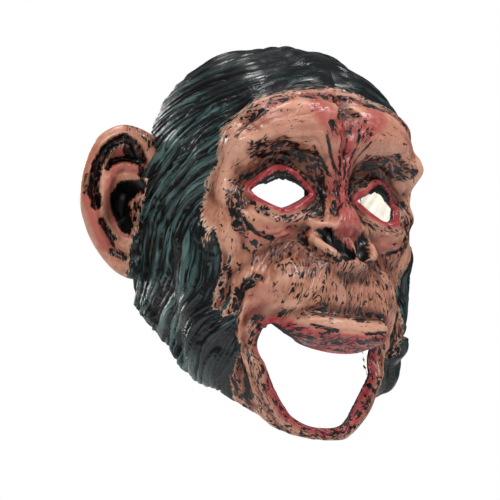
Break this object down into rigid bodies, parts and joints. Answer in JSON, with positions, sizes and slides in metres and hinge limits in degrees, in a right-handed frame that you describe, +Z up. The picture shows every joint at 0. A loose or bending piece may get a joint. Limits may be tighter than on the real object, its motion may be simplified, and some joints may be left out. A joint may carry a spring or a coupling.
{
  "type": "animal mask",
  "caption": "Chimpanzee face mask cast in latex, with open eyes and mouth, big ears, swept-back moulded hair and an elastic strap across its open back.",
  "frame": {"origin": "on the middle plane at the height of the eyes, in the plane where the wearer's face meets the inside of the mask", "axes": "+Z up, the face looks along -Y, the wearer's left is +X"},
  "size_m": [0.2746, 0.2239, 0.2739],
  "materials": {
    "painted_latex": "satin paint over latex, flesh face and black-green hair",
    "elastic": "woven elastic"
  },
  "bodies": {
    "root": {"mask_shell": "painted_latex", "elastic_strap": "elastic"}
  },
  "joints": []
}
